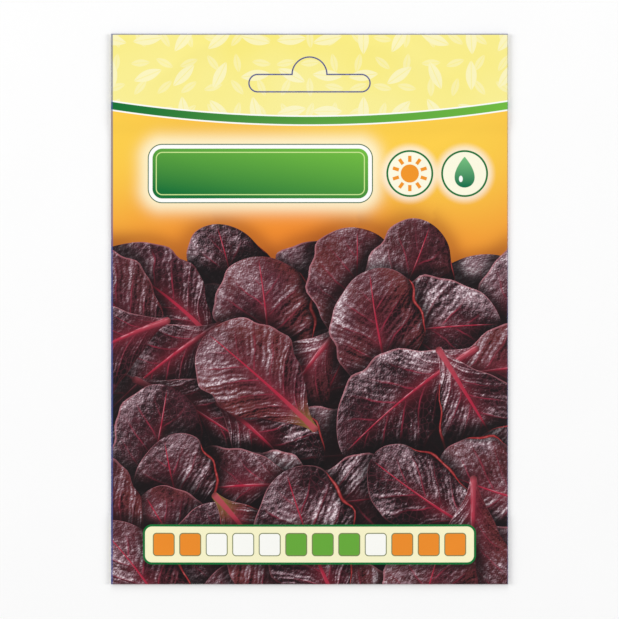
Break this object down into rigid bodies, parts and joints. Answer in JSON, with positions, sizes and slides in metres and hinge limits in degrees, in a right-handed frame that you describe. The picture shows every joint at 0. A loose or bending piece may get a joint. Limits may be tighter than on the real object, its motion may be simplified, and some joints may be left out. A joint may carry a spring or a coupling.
{
  "type": "seed packet",
  "caption": "Flat glued paper seed packet with a header, an uncut display-slot tab and a low belly of loose seed.",
  "frame": {"origin": "on the surface that the packet lies on, under the middle of its outline", "axes": "+Y from the bottom fold towards the header, +Z out of the printed front, +X to the right as the front is read"},
  "size_m": [0.105, 0.1456, 0.0043],
  "materials": {
    "printed_paper": "satin",
    "paper_glue": "satin",
    "seed_husk": "matte"
  },
  "bodies": {
    "root": {"envelope": "printed_paper", "side_seam_glue": "paper_glue", "top_flap_glue": "paper_glue", "bottom_flap_glue": "paper_glue", "seeds": "seed_husk"}
  },
  "joints": []
}
